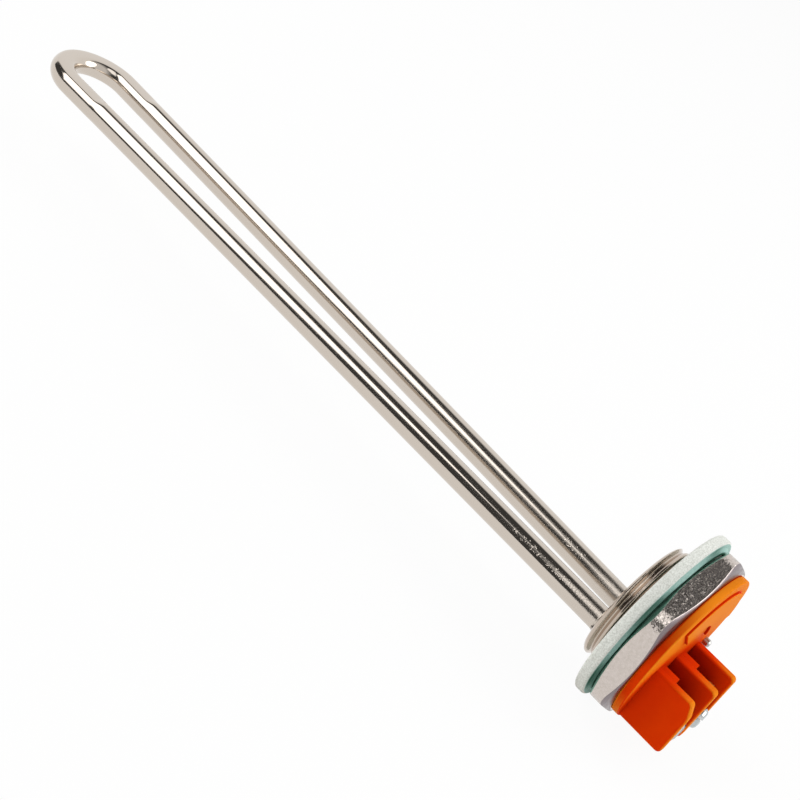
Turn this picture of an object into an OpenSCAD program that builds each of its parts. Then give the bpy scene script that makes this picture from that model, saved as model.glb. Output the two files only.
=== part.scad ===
// Screw plug immersion heater: a bent tubular element brazed into a threaded hexagon plug, with a sealing
// gasket on its boss and a moulded terminal block behind it.
// X runs along the plug's axis, out of the tank towards the terminals. X = 0 is the gasket's sealing face,
// where the thread begins. Z is up, away from the side on which the element's legs stand. Left and right are
// as seen from the terminals.

/* [Plug] */
// Size of the hexagon across its flats
hex_af = 45; // [42:0.5:50]
// Radius that rounds the hexagon's six corners
hex_corner_r = 6; // [2:0.5:8]
// Thickness of the hexagon
hex_h = 6; // [5:0.5:14]
// Slope of the turned chamfers on both sides of the hexagon
chamfer_angle = 24; // [15:1:32]
// Diameter of the flats left inside the chamfers
chamfer_d = 43.6; // [43.2:0.1:44.4]
// Diameter of the raised gasket seat
seat_d = 41; // [37:0.5:42]
// Height of the raised gasket seat
seat_h = 0.9; // [0.4:0.1:2]
// Diameter over the thread's crests
thread_d = 33.2; // [31.5:0.1:34]
// Length of full thread, from the gasket's sealing face
thread_l = 3.8; // [3:0.1:16]
// Depth of the thread relief that holds the gasket
relief_depth = 0.9; // [0.5:0.1:1.4]
// Length of the lead-in at the boss's end
lead_l = 1.3; // [0.8:0.1:2]
// Radial depth of the lead-in at the boss's end
lead_r = 2; // [1:0.1:2.4]
// Diameter of the cup behind the terminal block
cup_d = 26; // [25.4:0.1:27]
// Thickness of the wall that the tubes pass through
end_wall = 4; // [3:0.5:5.5]

/* [Gasket] */
// Outside diameter of the gasket
gasket_od = 49.2; // [46:0.2:54]
// Thickness of the gasket
gasket_t = 3; // [2:0.1:3.5]
// Radius on the gasket's outer edges
gasket_edge_r = 0.8; // [0.3:0.1:0.9]
// How far the loose gasket sits off the thread's axis
gasket_shift = 0.7; // [0:0.1:0.7]

/* [Element] */
// Outside diameter of the sheath tube
sheath_od = 6.4; // [5.8:0.1:6.6]
// Wall of the sheath tube
sheath_wall = 0.45; // [0.35:0.05:0.6]
// Length of each leg from the boss's end face to the centre of the bend
leg_l = 203.5; // [120:0.5:320]
// Radius of the bend, on the tube's centre line
bend_r = 10.7; // [9:0.1:11.5]
// Thickness of the bend, which is pressed flat once it is bent
press_t = 5.4; // [5:0.1:5.8]
// How much wider the pressed bend gets
press_spread = 0.3; // [0.2:0.1:0.6]
// Distance between the legs where they leave the boss
leg_pitch = 13.4; // [12.4:0.1:14.4]
// How far below the axis the legs leave the boss
leg_drop = 6.3; // [5.6:0.1:7]
// How far below the axis the bend lies
bend_drop = 2.5; // [0:0.1:4]
// Length of tube that stands inside the cup
tube_tail = 6; // [4:0.5:6.5]
// Diameter of the cold pins
pin_d = 2.4; // [2:0.1:2.6]
// Length of each cold pin inside the tube, from the boss's end face inwards
cold_l = 38; // [20:1:60]
// Outside diameter of the heating coil
coil_od = 2.9; // [2.7:0.1:3.4]
// Thickness of the heating coil's winding
coil_wire = 0.5; // [0.3:0.05:0.6]
// Length of each pin's end that the coil is wound on
pin_tip_l = 6; // [3:0.5:10]
// Width of the brazed fillets at the foot of the legs
braze_w = 1.1; // [0.5:0.1:1.3]
// Height of the brazed fillets at the foot of the legs
braze_h = 1.3; // [0.5:0.1:2]

/* [Terminal block] */
// Diameter of the base disc
disc_d = 43.1; // [42:0.1:44]
// Thickness of the base disc
disc_t = 2.1; // [2:0.1:4]
// Depth of the spigot that centres the block in the cup
spigot_l = 1.3; // [0.8:0.1:1.6]
// Height of the walls above the base disc
wall_h = 12.4; // [11.8:0.1:18]
// Thickness of the two outer walls
side_wall_t = 2.6; // [1.8:0.1:2.8]
// Thickness of the middle wall
mid_wall_t = 3; // [2.4:0.1:3.4]
// Width of each wire bay
bay_w = 8.4; // [7.8:0.1:8.6]
// Distance below the axis at which the bays open
mouth_drop = 2; // [2:0.1:4]
// Distance below the axis of the walls' rear ends
rear_drop = 17.5; // [17.2:0.1:17.6]
// Radius on the outer corners of the walls
wall_r = 1.2; // [0.4:0.1:1.3]
// How far the left wall's end falls away towards the bay's mouth
bevel_h = 1.1; // [0.5:0.1:2]
// Length over which it falls away
bevel_l = 4; // [3:0.1:7]
// Height of the shelves that carry the straps, above the base disc
shelf_h = 8.4; // [8:0.1:9]
// Distance below the axis of the shelves' front faces
shelf_drop = 9.3; // [9.2:0.1:9.6]
// Height of the ledge along one side of each bay, above the base disc
ledge_h = 4.6; // [2:0.1:6]
// Width of the ledge along one side of each bay
ledge_w = 2.5; // [1:0.1:2.7]
// Height of the raised bare pad on the base disc
pad_h = 0.6; // [0.3:0.1:1]
// Inner radius of the raised pad
pad_r0 = 8; // [6:0.5:12]
// Outer radius of the raised pad
pad_r1 = 18.4; // [15:0.1:19.4]
// Diameter of the steel pin that keeps the block from turning
block_pin_d = 2.2; // [2:0.1:3.4]
// Height of that pin above the base disc
block_pin_h = 1.9; // [1:0.1:4]
// Depth to which that pin is driven into the hexagon
block_pin_depth = 4; // [2:0.5:4.5]

/* [Terminals] */
// Thickness of the straps
strap_t = 1.4; // [1:0.1:1.6]
// Height of the drawn collar under each strap's tapped hole
collar_h = 1.8; // [1:0.1:2.4]
// Wall of the drawn collar
collar_wall = 0.9; // [0.5:0.1:1]
// Diameter of the screws' shanks
screw_d = 4.1; // [3.6:0.1:4.2]
// Length of the screws' shanks
screw_l = 7.3; // [6.4:0.1:8]
// Diameter of the screws' heads
head_d = 6; // [5.6:0.1:7.4]
// Height of the screws' heads
head_h = 2.5; // [2:0.1:2.8]
// Width of the screwdriver slots
slot_w = 1.1; // [0.7:0.1:1.4]
// Depth of the screwdriver slots
slot_depth = 1.2; // [0.8:0.1:1.4]
// Distance below the axis of the screws' axes
screw_drop = 13.5; // [13.2:0.1:13.6]
// How far the right screw stands out of its strap
right_screw_out = 0.9; // [0:0.1:2]

/* [Hidden] */
// Gap between pieces that are set into each other
fit_gap = 0.02;
// Gap round the pins where they pass through the block and the straps
pin_clear = 0.2;
// Gap round the screws' shanks in the tapped straps
screw_clear = 0.08;
// Gap round the straps, their collars and the screws in the block
strap_clear = 0.25;
// Gap all round between the thread's crests and the gasket, when it is centred, and the direction in which it
// sits off the axis
gasket_clear = 0.8;
gasket_way = 61;
// Gap round the spigot in the cup
spigot_clear = 0.2;
// Distance by which cutters pass the faces they open
cut = 1;
// Gap between the legs and the wall of the cup where it comes close to them
cup_clear = 0.3;
// Length over which the round legs run on into the pressed bend
press_run = 0.8;
// How much thicker the coil gets where it is bent, and the length over which its legs run on into the bend
coil_swell = 0.02;
coil_run = 0.3;
// Turns of the two sides, as seen from the terminals
left = -1;
right = 1;
$fn = 64;

boss_l = thread_l + lead_l;
x_seat = gasket_t;
x_hex = x_seat + seat_h;
x_back = x_hex + hex_h;
x_face = x_back + disc_t;
x_wall = x_face + wall_h;
x_shelf = x_face + shelf_h;
x_strap = x_shelf + strap_t;
x_boss = -boss_l;
x_floor = x_boss + end_wall;
x_tail = x_floor + tube_tail;
x_coil = x_boss - cold_l + pin_tip_l;
x_bend = x_boss - leg_l;

hex_out = hex_af / 2 / cos(30);
chamfer_h = (hex_out - chamfer_d / 2) * tan(chamfer_angle);
sheath_id = sheath_od - 2 * sheath_wall;
coil_id = coil_od - 2 * coil_wire;
// Lengths of the end seals and of the bushes' two parts
seal_l = 2.4;
bush_in_l = 1.6;
bush_out_l = 2.4;
bay_y = (mid_wall_t + bay_w) / 2;
block_y = mid_wall_t / 2 + bay_w + side_wall_t;
// Place of the block pin on the base disc, and the chamfer on its ends
block_pin_y = 16.5;
block_pin_z = -3.3;
pin_chamfer = 0.5;
// How far the cold pins stand out of their straps, and the strap's wall round them
pin_nub = 0.5;
lug_wall = 0.8;
// Radii on the straps' corners and on the screws' heads, and the chamfer on the screws' tips
strap_r = 0.6;
dome_r = 1.2;
screw_chamfer = 0.5;
// Radii on the walls' long edges at the mouth and at the rear
mouth_r = 0.8;
rear_r = 0.4;
// How far the ledges end short of the mouth, and how far the blocks in the bays reach into the walls
ledge_back = 0.2;
wall_lap = 0.4;
// Angle from the horizontal at which the raised pad ends
pad_angle = 18;
// Wall of the brazed fillets at their thin end
braze_edge = 0.15;
// Turns of the screwdriver slots
left_slot = 75;
right_slot = 153;

// Tilt of the hairpin's plane, and the angle by which each leg leans in towards the plug, both to a
// thousandth of a degree
loop_tilt = round(1000 * atan((leg_drop - bend_drop) / leg_l)) / 1000;
loop_run = leg_l / cos(loop_tilt);
bend_reach = asin(bend_r / norm([loop_run, leg_pitch / 2]));
leg_lean = round(1000 * (bend_reach - atan2(leg_pitch / 2, loop_run))) / 1000;

// Length along a leg, from its end of the bend to the place where it crosses a plane across the plug's axis
function along(x) = ((x - x_bend) / cos(loop_tilt) - bend_r * sin(leg_lean)) / cos(leg_lean);
// Where a leg's centre line crosses such a plane
function leg_y(x) = bend_r * cos(leg_lean) - along(x) * sin(leg_lean);
function leg_z(x) = -bend_drop - (x - x_bend) * tan(loop_tilt);

// Points of an arc, and of a box with its own radius on each corner
function arc(c, r, a0, a1, n = 6) =
    r > 0 ? [for (i = [0:n]) c + r * [cos(a0 + (a1 - a0) * i / n), sin(a0 + (a1 - a0) * i / n)]] : [c];
function soft_box(a, b, r) = concat(
    arc([b[0] - r[0], b[1] - r[0]], r[0], 0, 90),
    arc([a[0] + r[1], b[1] - r[1]], r[1], 90, 180),
    arc([a[0] + r[2], a[1] + r[2]], r[2], 180, 270),
    arc([b[0] - r[3], a[1] + r[3]], r[3], 270, 360));

// The rounded hexagon, with a corner up
function soft_hex(af, r) = [for (k = [0:5]) each
    arc((af / 2 - r) / cos(30) * [cos(90 + 60 * k), sin(90 + 60 * k)], r, 60 + 60 * k, 120 + 60 * k, 8)];

// A sketch across the axis (Y to the right, Z up), extruded or turned along X
module axial(x) {
    translate([x, 0, 0])
        rotate([90, 0, 90])
            children();
}

// A sketch of a wall's side (Z to the right, X up), extruded along Y
module crosswise(y) {
    translate([0, y, 0])
        rotate([90, 0, 90])
            rotate([90, 0, 90])
                children();
}

module loop_frame() {
    translate([x_bend, 0, -bend_drop])
        rotate([0, loop_tilt, 0])
            children();
}

module leg_frame(side) {
    loop_frame()
        rotate([0, 0, -side * leg_lean])
            translate([0, side * bend_r, 0])
                rotate([0, 90, 0])
                    children();
}

// A length of one leg between two planes across the plug's axis
module leg_rod(side, d, x0, x1) {
    leg_frame(side)
        translate([0, 0, along(x0)])
            cylinder(d = d, h = along(x1) - along(x0));
}

// A turned piece on one leg, its profile measured from a plane across the plug's axis
module leg_turned(side, x0, profile) {
    leg_frame(side)
        translate([0, 0, along(x0)])
            rotate_extrude()
                polygon(profile);
}

// The whole bend, swept from a section drawn round the tube's centre line
module bend() {
    loop_frame()
        rotate([0, 0, 90 - leg_lean])
            rotate_extrude(angle = 180 + 2 * leg_lean)
                translate([bend_r, 0])
                    children();
}

// Both legs from the bend to a plane across the plug's axis, and how far they run on into the bend
module legs(d, x1, run_on) {
    for (side = [left, right])
        leg_frame(side)
            translate([0, 0, -run_on])
                cylinder(d = d, h = along(x1) + run_on);
}

// The element's form along the whole hairpin, set in from the sheath's surface, with its bend pressed flat
module element_bar(inset, x1) {
    d = sheath_od - 2 * inset;
    legs(d, x1, press_run - inset);
    bend()
        intersection() {
            circle(d = d + press_spread);
            square([2 * d, press_t - 2 * inset], center = true);
        }
}

// A round bar along the whole hairpin, a hair thicker in the bend than in the legs
module round_bar(d, x1) {
    legs(d, x1, coil_run);
    bend()
        circle(d = d + coil_swell);
}

module hex_plug() {
    color("Silver")
        difference() {
            union() {
                intersection() {
                    axial(x_hex)
                        linear_extrude(hex_h)
                            polygon(soft_hex(hex_af, hex_corner_r));
                    axial(x_hex)
                        rotate_extrude()
                            intersection() {
                                polygon([
                                    [0, 0],
                                    [chamfer_d / 2, 0],
                                    [hex_out, chamfer_h],
                                    [hex_out, hex_h],
                                    [0, hex_h]]);
                                polygon([
                                    [0, 0],
                                    [hex_out, 0],
                                    [hex_out, hex_h - chamfer_h],
                                    [chamfer_d / 2, hex_h],
                                    [0, hex_h]]);
                            }
                }
                axial(x_boss)
                    rotate_extrude()
                        polygon([
                            [0, 0],
                            [thread_d / 2 - lead_r, 0],
                            [thread_d / 2, lead_l],
                            [thread_d / 2, boss_l],
                            [thread_d / 2 - relief_depth, boss_l + relief_depth],
                            [thread_d / 2 - relief_depth, boss_l + x_seat],
                            [seat_d / 2, boss_l + x_seat],
                            [seat_d / 2, boss_l + x_hex + hex_h / 2],
                            [0, boss_l + x_hex + hex_h / 2]]);
            }
            axial(x_floor)
                cylinder(d = cup_d, h = x_back - x_floor + cut);
            for (side = [left, right]) {
                leg_rod(side, sheath_od + 2 * fit_gap, x_boss - cut, x_floor + cut);
                leg_rod(side, sheath_od + 2 * cup_clear, x_floor + cup_clear, x_back);
            }
            axial(x_back - block_pin_depth)
                translate([block_pin_y, block_pin_z, 0])
                    cylinder(d = block_pin_d + 2 * fit_gap, h = block_pin_depth + cut);
        }
}

module sealing_gasket() {
    color("Honeydew")
        axial(0)
            translate(gasket_shift * [cos(gasket_way), sin(gasket_way), 0])
                rotate_extrude()
                    polygon(soft_box([thread_d / 2 + gasket_clear, 0], [gasket_od / 2, gasket_t],
                        [gasket_edge_r, 0, 0, gasket_edge_r]));
}

module sheath_tube() {
    color("Gainsboro")
        difference() {
            element_bar(0, x_tail);
            element_bar(sheath_wall, x_tail + cut);
        }
}

module magnesia_fill() {
    color("White") {
        difference() {
            element_bar(sheath_wall + fit_gap, x_tail - bush_in_l - seal_l);
            round_bar(coil_od + 2 * fit_gap, x_coil);
            for (side = [left, right])
                leg_rod(side, pin_d + 2 * fit_gap, x_coil - cut, x_tail);
        }
        round_bar(coil_id - 2 * fit_gap, x_boss - cold_l);
    }
}

module resistance_coil() {
    color("DimGray")
        difference() {
            round_bar(coil_od, x_coil);
            round_bar(coil_id, x_coil + cut);
        }
}

module cold_pin(side) {
    x_tip = x_boss - cold_l + fit_gap;
    tip_l = pin_tip_l - fit_gap;
    tip_r = coil_id / 2 - fit_gap;
    full_l = x_strap + pin_nub - x_tip;
    color("LightSteelBlue")
        leg_turned(side, x_tip, [
            [0, 0],
            [tip_r, 0],
            [tip_r, tip_l],
            [pin_d / 2, tip_l],
            [pin_d / 2, full_l],
            [0, full_l]]);
}

module end_seal(side) {
    color("Peru")
        leg_turned(side, x_tail - bush_in_l - seal_l, [
            [pin_d / 2 + fit_gap, 0],
            [sheath_id / 2 - fit_gap, 0],
            [sheath_id / 2 - fit_gap, seal_l],
            [pin_d / 2 + fit_gap, seal_l]]);
}

module end_bush(side) {
    color("Linen")
        leg_turned(side, x_tail - bush_in_l, [
            [pin_d / 2 + fit_gap, 0],
            [sheath_id / 2 - fit_gap, 0],
            [sheath_id / 2 - fit_gap, bush_in_l],
            [sheath_od / 2, bush_in_l],
            [sheath_od / 2, bush_in_l + bush_out_l],
            [pin_d / 2 + fit_gap, bush_in_l + bush_out_l]]);
}

module braze(side) {
    color("DarkKhaki")
        difference() {
            translate([0, side * leg_y(x_boss), leg_z(x_boss)])
                axial(x_boss - braze_h)
                    cylinder(r1 = sheath_od / 2 + braze_edge, r2 = sheath_od / 2 + braze_w, h = braze_h);
            leg_rod(side, sheath_od + 2 * fit_gap, x_boss - braze_h - cut, x_boss + cut);
        }
}

// One upright wall: its plan and its side view cut from the same block. Its end may fall away to the mouth.
module block_wall(y0, y1, fall = 0) {
    intersection() {
        axial(x_face - disc_t / 2)
            linear_extrude(wall_h + disc_t)
                polygon(soft_box([y0, -rear_drop], [y1, -mouth_drop], [mouth_r, mouth_r, rear_r, rear_r]));
        crosswise(y0)
            linear_extrude(y1 - y0)
                difference() {
                    polygon(soft_box([-rear_drop, x_face - disc_t / 2], [-mouth_drop, x_wall],
                        [wall_r, wall_r, 0, 0]));
                    polygon([
                        [-mouth_drop - bevel_l, x_wall],
                        [-mouth_drop, x_wall - fall],
                        [cut, x_wall - fall],
                        [cut, x_wall + cut],
                        [-mouth_drop - bevel_l, x_wall + cut]]);
                }
    }
}

module bay_block(y0, y1, z0, z1, h) {
    axial(x_face - disc_t / 2)
        linear_extrude(disc_t / 2 + h)
            polygon([[y0, z0], [y1, z0], [y1, z1], [y0, z1]]);
}

module terminal_block() {
    color("OrangeRed")
        difference() {
            union() {
                axial(x_back)
                    cylinder(d = disc_d, h = disc_t);
                axial(x_back - spigot_l)
                    cylinder(d = cup_d - 2 * spigot_clear, h = spigot_l + disc_t / 2);
                block_wall(-block_y, -block_y + side_wall_t, bevel_h);
                block_wall(-mid_wall_t / 2, mid_wall_t / 2);
                block_wall(block_y - side_wall_t, block_y);
                for (y = [-bay_y, bay_y]) {
                    bay_block(y - bay_w / 2 - wall_lap, y + bay_w / 2 + wall_lap, -rear_drop + wall_lap,
                        -shelf_drop, shelf_h);
                    bay_block(y - bay_w / 2 - wall_lap, y - bay_w / 2 + ledge_w, -shelf_drop - wall_lap,
                        -mouth_drop - ledge_back, ledge_h);
                }
                axial(x_face - disc_t / 2)
                    linear_extrude(disc_t / 2 + pad_h)
                        polygon(concat(
                            arc([0, 0], pad_r1, pad_angle, 180 - pad_angle, 24),
                            arc([0, 0], pad_r0, 180 - pad_angle, pad_angle, 24)));
            }
            for (side = [left, right]) {
                leg_rod(side, pin_d + 2 * pin_clear, x_floor, x_wall);
                axial(x_face)
                    translate([side * bay_y, -screw_drop, 0])
                        cylinder(d = screw_d + 2 * strap_clear, h = wall_h);
                axial(x_shelf - collar_h - strap_clear)
                    translate([side * bay_y, -screw_drop, 0])
                        cylinder(d = screw_d + 2 * (collar_wall + strap_clear), h = wall_h);
            }
            axial(x_back - cut)
                translate([block_pin_y, block_pin_z, 0])
                    cylinder(d = block_pin_d + 2 * fit_gap, h = disc_t + 2 * cut);
        }
}

module strap(side) {
    lug_r = pin_d / 2 + lug_wall;
    y_pin = side * leg_y(x_shelf);
    z_pin = leg_z(x_shelf);
    y_screw = side * bay_y;
    half_w = bay_w / 2 - strap_clear;
    color("Goldenrod")
        difference() {
            union() {
                axial(x_shelf)
                    linear_extrude(strap_t)
                        union() {
                            polygon(soft_box([y_screw - half_w, -rear_drop + wall_r],
                                [y_screw + half_w, -shelf_drop], [strap_r, strap_r, strap_r, strap_r]));
                            polygon([
                                [y_pin - lug_r, -shelf_drop - cut],
                                [y_pin + lug_r, -shelf_drop - cut],
                                [y_pin + lug_r, z_pin],
                                [y_pin - lug_r, z_pin]]);
                            translate([y_pin, z_pin])
                                circle(r = lug_r);
                        }
                axial(x_shelf - collar_h)
                    translate([y_screw, -screw_drop, 0])
                        cylinder(d = screw_d + 2 * collar_wall, h = collar_h + strap_t / 2);
            }
            axial(x_shelf - collar_h - cut)
                translate([y_screw, -screw_drop, 0])
                    cylinder(d = screw_d + 2 * screw_clear, h = collar_h + strap_t + 2 * cut);
            leg_rod(side, pin_d + 2 * fit_gap, x_shelf - cut, x_strap + cut);
        }
}

module terminal_screw(side, out, slot_angle) {
    color("LightGray")
        translate([0, side * bay_y, -screw_drop])
            difference() {
                axial(x_strap + out - screw_l)
                    rotate_extrude()
                        polygon(concat(
                            [[0, 0], [screw_d / 2 - screw_chamfer, 0], [screw_d / 2, screw_chamfer]],
                            [[screw_d / 2, screw_l], [head_d / 2, screw_l]],
                            arc([head_d / 2 - dome_r, screw_l + head_h - dome_r], dome_r, 0, 75),
                            [[0, screw_l + head_h]]));
                axial(x_strap + out + head_h - slot_depth)
                    rotate([0, 0, slot_angle])
                        translate([-head_d, -slot_w / 2, 0])
                            cube([2 * head_d, slot_w, slot_depth + cut]);
            }
}

module block_pin() {
    pin_l = block_pin_depth + disc_t + block_pin_h;
    color("Silver")
        translate([0, block_pin_y, block_pin_z])
            axial(x_back - block_pin_depth)
                rotate_extrude()
                    polygon([
                        [0, 0],
                        [block_pin_d / 2 - pin_chamfer, 0],
                        [block_pin_d / 2, pin_chamfer],
                        [block_pin_d / 2, pin_l - pin_chamfer],
                        [block_pin_d / 2 - pin_chamfer, pin_l],
                        [0, pin_l]]);
}

hex_plug();
sealing_gasket();
sheath_tube();
magnesia_fill();
resistance_coil();
cold_pin(left);  // cold_pin_left
cold_pin(right);  // cold_pin_right
end_seal(left);  // end_seal_left
end_seal(right);  // end_seal_right
end_bush(left);  // end_bush_left
end_bush(right);  // end_bush_right
braze(left);  // braze_left
braze(right);  // braze_right
terminal_block();
strap(left);  // strap_left
strap(right);  // strap_right
terminal_screw(left, 0, left_slot);  // terminal_screw_left
terminal_screw(right, right_screw_out, right_slot);  // terminal_screw_right
block_pin();
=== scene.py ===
import math

import bmesh
import bpy
from mathutils import Matrix, Vector, noise


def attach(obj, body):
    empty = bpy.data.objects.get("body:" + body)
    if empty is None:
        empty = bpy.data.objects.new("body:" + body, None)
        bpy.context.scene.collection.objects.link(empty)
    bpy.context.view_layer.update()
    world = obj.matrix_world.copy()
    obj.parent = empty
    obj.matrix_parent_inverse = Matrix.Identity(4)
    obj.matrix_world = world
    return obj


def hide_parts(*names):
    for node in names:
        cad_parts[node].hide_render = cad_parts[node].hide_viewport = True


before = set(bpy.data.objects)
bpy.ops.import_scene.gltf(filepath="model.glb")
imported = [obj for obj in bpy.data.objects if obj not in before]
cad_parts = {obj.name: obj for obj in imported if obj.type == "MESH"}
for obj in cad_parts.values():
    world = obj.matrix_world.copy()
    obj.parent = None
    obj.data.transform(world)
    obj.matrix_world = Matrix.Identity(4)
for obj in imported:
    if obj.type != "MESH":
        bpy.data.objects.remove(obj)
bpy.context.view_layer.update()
scene = bpy.context.scene
mm = 0.001
heater = "heater"  # the body that everything but the two screws rides on
sides = {"left": -1, "right": 1}  # as seen from the terminals


# Colours are written as sRGB hex, shaders want linear
def linear(hexColour):
    channels = [int(hexColour[i:i + 2], 16) / 255 for i in (1, 3, 5)]
    return [c / 12.92 if c <= 0.04045 else ((c + 0.055) / 1.055) ** 2.4 for c in channels] + [1.0]


# One node with its settings; an input is a value, or another node's socket to link
def addNode(tree, kind, inputs=None, **settings):
    node = tree.nodes.new(kind)
    for key, value in settings.items():
        setattr(node, key, value)
    for key, value in (inputs or {}).items():
        if isinstance(value, bpy.types.NodeSocket):
            tree.links.new(value, node.inputs[key])
        else:
            node.inputs[key].default_value = value
    return node


# The nodes that come up again and again. Each gives its output socket.
def reckon(tree, operation, *values):
    return addNode(tree, "ShaderNodeMath", dict(enumerate(values)), operation=operation).outputs[0]


def reckonVector(tree, operation, *values):
    node = addNode(tree, "ShaderNodeVectorMath", dict(enumerate(values)), operation=operation)
    return node.outputs["Value" if operation in ("DOT_PRODUCT", "LENGTH") else "Vector"]


def ramp(tree, value, start, end, low=0.0, high=1.0, smooth=False):
    return addNode(tree, "ShaderNodeMapRange", {
        "Value": value, "From Min": start, "From Max": end, "To Min": low, "To Max": high},
        interpolation_type="SMOOTHSTEP" if smooth else "LINEAR").outputs[0]


# Texture scale for a pattern whose grains have this size
def perMetre(sizeMm):
    return 1 / (sizeMm * mm)


def grain(tree, place, sizeMm, detail):
    return addNode(tree, "ShaderNodeTexNoise", {
        "Vector": place, "Scale": perMetre(sizeMm), "Detail": detail}).outputs["Fac"]


# Each of the two colours is written as hex, or comes from a socket
def blend(tree, share, *colours):
    a, b = [linear(colour) if isinstance(colour, str) else colour for colour in colours]
    mix = addNode(tree, "ShaderNodeMix", {"Factor": share, "A": a, "B": b}, data_type="RGBA")
    return mix.outputs["Result"]


def startMaterial(name, sockets):
    material = bpy.data.materials.new(name)
    material.use_nodes = True
    tree = material.node_tree
    shader = tree.nodes["Principled BSDF"]
    for key, value in sockets.items():
        shader.inputs[key].default_value = value
    place = addNode(tree, "ShaderNodeTexCoord").outputs["Object"]
    return material, tree, shader, place


def addBump(tree, shader, height, strength, depthMm, invert=False):
    bump = addNode(tree, "ShaderNodeBump", {
        "Height": height, "Strength": strength, "Distance": depthMm * mm}, invert=invert)
    tree.links.new(bump.outputs[0], shader.inputs["Normal"])


# Materials

# What brazing heat did to the tube: places in mm along X, then how strongly it shows
heatMarks = {
    "dull": (-21, -8), "dullRoughness": 0.14, "blisters": 0.55, "blisterMm": 0.45, "bump": 0.06,
    "haze": (-110, -30), "nearHaze": -0.02, "farHaze": 0.06,
    "pitMiddle": -24, "nearPitReach": 11, "farPitReach": 3.6,
    "upperFlank": (0.0, -0.76, 0.65), "flankFade": (0.955, 0.985),
    "pitMm": 0.45, "pitDepth": 0.7, "pitFade": (0.82, 0.94), "patchMm": 4.0, "patchShare": 0.4,
}


# Nickel plate over drawn tube: a warm mirror with faint draw lines. Heat left it dull and blistered next to
# the plug, pitted a little further along the upper flank, and the far leg hazier than the near one.
def nickelPlate():
    material, tree, shader, place = startMaterial("nickelPlateDrawn", {
        "Base Color": linear("#cdc3b8"), "Metallic": 1.0})
    along = reckonVector(tree, "MULTIPLY", place, (0.02, 1.0, 1.0))
    drawn = ramp(tree, grain(tree, along, sizeMm=0.5, detail=3), 0.3, 0.7, 0.07, 0.15)
    parts = addNode(tree, "ShaderNodeSeparateXYZ", {0: place}).outputs
    x, near = parts["X"], reckon(tree, "LESS_THAN", parts["Y"], 0.0)
    haze = ramp(tree, near, 0.0, 1.0, heatMarks["farHaze"], heatMarks["nearHaze"])
    hazeStart, hazeEnd = heatMarks["haze"]
    warmed = ramp(tree, x, hazeStart * mm, hazeEnd * mm, 0.0, haze)
    dullStart, dullEnd = heatMarks["dull"]
    heated = ramp(tree, x, dullStart * mm, dullEnd * mm, smooth=True)
    # The pitted run reaches so far each way from its middle
    reach = ramp(tree, near, 0.0, 1.0, heatMarks["farPitReach"] * mm, heatMarks["nearPitReach"] * mm)
    inRun = reckon(tree, "COMPARE", x, heatMarks["pitMiddle"] * mm, reach)
    normal = addNode(tree, "ShaderNodeNewGeometry").outputs["Normal"]
    facing = reckonVector(tree, "DOT_PRODUCT", normal, heatMarks["upperFlank"])
    onFlank = reckon(tree, "MULTIPLY", inRun, ramp(tree, facing, *heatMarks["flankFade"]))
    pits = grain(tree, place, heatMarks["pitMm"], detail=1)
    patches = grain(tree, place, heatMarks["patchMm"], detail=1)
    both = reckon(tree, "MULTIPLY_ADD", patches, heatMarks["patchShare"], pits)
    pitted = ramp(tree, both, *heatMarks["pitFade"], 0.0, heatMarks["pitDepth"])
    depth = reckon(tree, "MULTIPLY", onFlank, pitted)
    blisters = grain(tree, place, heatMarks["blisterMm"], detail=2)
    blistered = reckon(tree, "MULTIPLY", blisters, heated)
    height = reckon(tree, "MULTIPLY_ADD", blistered, heatMarks["blisters"], depth)
    plain = reckon(tree, "ADD", warmed, drawn)
    rough = reckon(tree, "MULTIPLY_ADD", heated, heatMarks["dullRoughness"], plain)
    tree.links.new(rough, shader.inputs["Roughness"])
    addBump(tree, shader, height, strength=0.8, depthMm=heatMarks["bump"], invert=True)
    return material


# Nickel plate over a shot-blasted forging: each dent is a small facet of its own, so the faces are even where
# all round them is pale, and sparkle like salt and pepper where they mirror the dark
def grainedForging(dentMm=0.28, dentTilt=0.27):
    material, tree, shader, place = startMaterial("nickelPlateGrained", {
        "Metallic": 1.0, "Roughness": 0.24})
    tone = ramp(tree, grain(tree, place, sizeMm=0.6, detail=3), 0.3, 0.7)
    tree.links.new(blend(tree, tone, "#c7bdb5", "#d2c8c1"), shader.inputs["Base Color"])
    dents = addNode(tree, "ShaderNodeTexVoronoi", {"Vector": place, "Scale": perMetre(dentMm)})
    lean = reckonVector(tree, "SUBTRACT", dents.outputs["Color"], (0.5, 0.5, 0.5))
    normal = addNode(tree, "ShaderNodeNewGeometry").outputs["Normal"]
    tilted = reckonVector(tree, "MULTIPLY_ADD", lean, (dentTilt, dentTilt, dentTilt), normal)
    tree.links.new(reckonVector(tree, "NORMALIZE", tilted), shader.inputs["Normal"])
    return material


# Nickel plate over turned steel: a clean sheen with the tool's fine rings
def turnedPlate(name, colour, roughness):
    material, tree, shader, place = startMaterial(name, {"Base Color": linear(colour), "Metallic": 1.0})
    stretched = reckonVector(tree, "MULTIPLY", place, (1.0, 0.05, 0.05))
    rings = grain(tree, stretched, sizeMm=0.25, detail=2)
    rough = ramp(tree, rings, 0.3, 0.7, roughness * 0.75, roughness * 1.35)
    tree.links.new(rough, shader.inputs["Roughness"])
    addBump(tree, shader, rings, strength=0.12, depthMm=0.01)
    return material


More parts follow.
